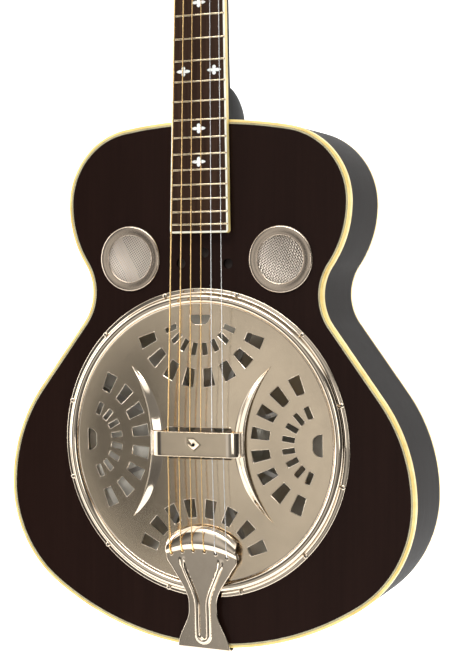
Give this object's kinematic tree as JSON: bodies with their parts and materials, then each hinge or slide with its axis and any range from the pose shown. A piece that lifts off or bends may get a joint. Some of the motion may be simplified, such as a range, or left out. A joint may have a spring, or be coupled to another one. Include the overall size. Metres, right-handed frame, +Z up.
{
  "type": "resonator guitar",
  "caption": "Resonator guitar: dark wooden body, pierced nickel coverplate over a spun cone and spider bridge, bound neck, flared tailpiece and geared tuners.",
  "frame": {"origin": "centre of the end pin's outer face, the lowest point of the standing guitar", "axes": "+Z runs up the centre line from the end pin to the headstock, -Y is out of the soundboard towards the player's audience, +X is the treble side"},
  "size_m": [0.392, 0.108, 0.9899],
  "materials": {
    "soundboard_lacquer": "gloss dark brown lacquer",
    "body_satin": "satin dark stain",
    "neck_satin": "satin dark stain",
    "headstock_lacquer": "gloss dark lacquer",
    "cream_binding": "aged cream",
    "line_inlay": "fine light and dark lines",
    "ivory_binding": "ivory",
    "raw_wood": "unfinished",
    "maple": "oiled maple",
    "spun_aluminium": "spun",
    "cast_aluminium": "cast",
    "steel": "plain",
    "satin_nickel": "satin nickel plate with bright edges",
    "bright_nickel": "polished nickel plate",
    "mesh_wire": "woven wire",
    "rosewood": "open grain, oiled",
    "fret_wire": "polished nickel silver",
    "pearl": "mother of pearl",
    "black_plastic": "gloss",
    "plain_string": "polished steel wire",
    "wound_string": "bronze winding"
  },
  "bodies": {
    "root": {"top": "soundboard_lacquer", "back": "body_satin", "side_bass": "body_satin", "side_treble": "body_satin", "top_binding": "cream_binding", "top_purfling": "line_inlay", "back_binding": "cream_binding", "neck_block": "raw_wood", "tail_block": "raw_wood", "top_lining": "raw_wood", "back_lining": "raw_wood", "top_braces": "raw_wood", "back_braces": "raw_wood", "soundwell": "raw_wood", "cone": "spun_aluminium", "spider": "cast_aluminium", "saddle": "maple", "tension_screw": "steel", "coverplate": "satin_nickel", "coverplate_screws": "bright_nickel", "palm_rest": "satin_nickel", "screen_ring_bass": "bright_nickel", "screen_ring_treble": "bright_nickel", "screen_mesh_bass": "mesh_wire", "screen_mesh_treble": "mesh_wire", "tailpiece": "bright_nickel", "end_pin": "bright_nickel", "neck": "neck_satin", "heel_cap": "cream_binding", "truss_rod": "steel", "fingerboard": "rosewood", "fingerboard_binding": "ivory_binding", "frets": "fret_wire", "position_markers": "pearl", "nut": "ivory_binding", "headstock": "neck_satin", "headstock_veneer": "headstock_lacquer", "truss_rod_cover": "black_plastic", "truss_cover_screws": "bright_nickel", "tuner_housings": "bright_nickel", "tuner_bushings": "bright_nickel", "tuner_screws": "bright_nickel", "string_1": "plain_string", "string_2": "plain_string", "string_3": "wound_string", "string_4": "wound_string", "string_5": "wound_string", "string_6": "wound_string"},
    "tuner_post_1": {"tuner_post_1": "bright_nickel"},
    "tuner_button_1": {"tuner_button_1": "bright_nickel"},
    "tuner_post_2": {"tuner_post_2": "bright_nickel"},
    "tuner_button_2": {"tuner_button_2": "bright_nickel"},
    "tuner_post_3": {"tuner_post_3": "bright_nickel"},
    "tuner_button_3": {"tuner_button_3": "bright_nickel"},
    "tuner_post_4": {"tuner_post_4": "bright_nickel"},
    "tuner_button_4": {"tuner_button_4": "bright_nickel"},
    "tuner_post_5": {"tuner_post_5": "bright_nickel"},
    "tuner_button_5": {"tuner_button_5": "bright_nickel"},
    "tuner_post_6": {"tuner_post_6": "bright_nickel"},
    "tuner_button_6": {"tuner_button_6": "bright_nickel"}
  },
  "joints": [
    {"name": "tuner_1_turn", "type": "hinge", "parent": "root", "child": "tuner_button_1", "pos_m": [0.03119, -0.01003, 0.86878], "axis": [0.9999, 0, 0.014], "continuous": true},
    {"name": "tuner_1_post_turn", "type": "hinge", "parent": "root", "child": "tuner_post_1", "pos_m": [0.01202, -0.02633, 0.88106], "axis": [-0.0036, -0.9659, 0.2588], "continuous": true},
    {"name": "tuner_2_turn", "type": "hinge", "parent": "root", "child": "tuner_button_2", "pos_m": [0.02968, -0.00019, 0.90547], "axis": [0.9999, 0, 0.014], "continuous": true},
    {"name": "tuner_2_post_turn", "type": "hinge", "parent": "root", "child": "tuner_post_2", "pos_m": [0.0105, -0.0165, 0.91775], "axis": [-0.0036, -0.9659, 0.2588], "continuous": true},
    {"name": "tuner_3_turn", "type": "hinge", "parent": "root", "child": "tuner_button_3", "pos_m": [0.02816, 0.00965, 0.94215], "axis": [0.9999, 0, 0.014], "continuous": true},
    {"name": "tuner_3_post_turn", "type": "hinge", "parent": "root", "child": "tuner_post_3", "pos_m": [0.00899, -0.00666, 0.95443], "axis": [-0.0036, -0.9659, 0.2588], "continuous": true},
    {"name": "tuner_4_turn", "type": "hinge", "parent": "root", "child": "tuner_button_4", "pos_m": [-0.04683, 0.00965, 0.94111], "axis": [-0.9999, 0, -0.014], "continuous": true},
    {"name": "tuner_4_post_turn", "type": "hinge", "parent": "root", "child": "tuner_post_4", "pos_m": [-0.02801, -0.00666, 0.95392], "axis": [-0.0036, -0.9659, 0.2588], "continuous": true},
    {"name": "tuner_5_turn", "type": "hinge", "parent": "root", "child": "tuner_button_5", "pos_m": [-0.04732, -0.00019, 0.90439], "axis": [-0.9999, 0, -0.014], "continuous": true},
    {"name": "tuner_5_post_turn", "type": "hinge", "parent": "root", "child": "tuner_post_5", "pos_m": [-0.02849, -0.0165, 0.9172], "axis": [-0.0036, -0.9659, 0.2588], "continuous": true},
    {"name": "tuner_6_turn", "type": "hinge", "parent": "root", "child": "tuner_button_6", "pos_m": [-0.0478, -0.01003, 0.86767], "axis": [-0.9999, 0, -0.014], "continuous": true},
    {"name": "tuner_6_post_turn", "type": "hinge", "parent": "root", "child": "tuner_post_6", "pos_m": [-0.02898, -0.02633, 0.88049], "axis": [-0.0036, -0.9659, 0.2588], "continuous": true}
  ],
  "couplings": [
    {"joint": "tuner_1_post_turn", "follows": "tuner_1_turn", "ratio": 0.071429},
    {"joint": "tuner_2_post_turn", "follows": "tuner_2_turn", "ratio": 0.071429},
    {"joint": "tuner_3_post_turn", "follows": "tuner_3_turn", "ratio": 0.071429},
    {"joint": "tuner_4_post_turn", "follows": "tuner_4_turn", "ratio": 0.071429},
    {"joint": "tuner_5_post_turn", "follows": "tuner_5_turn", "ratio": 0.071429},
    {"joint": "tuner_6_post_turn", "follows": "tuner_6_turn", "ratio": 0.071429}
  ]
}
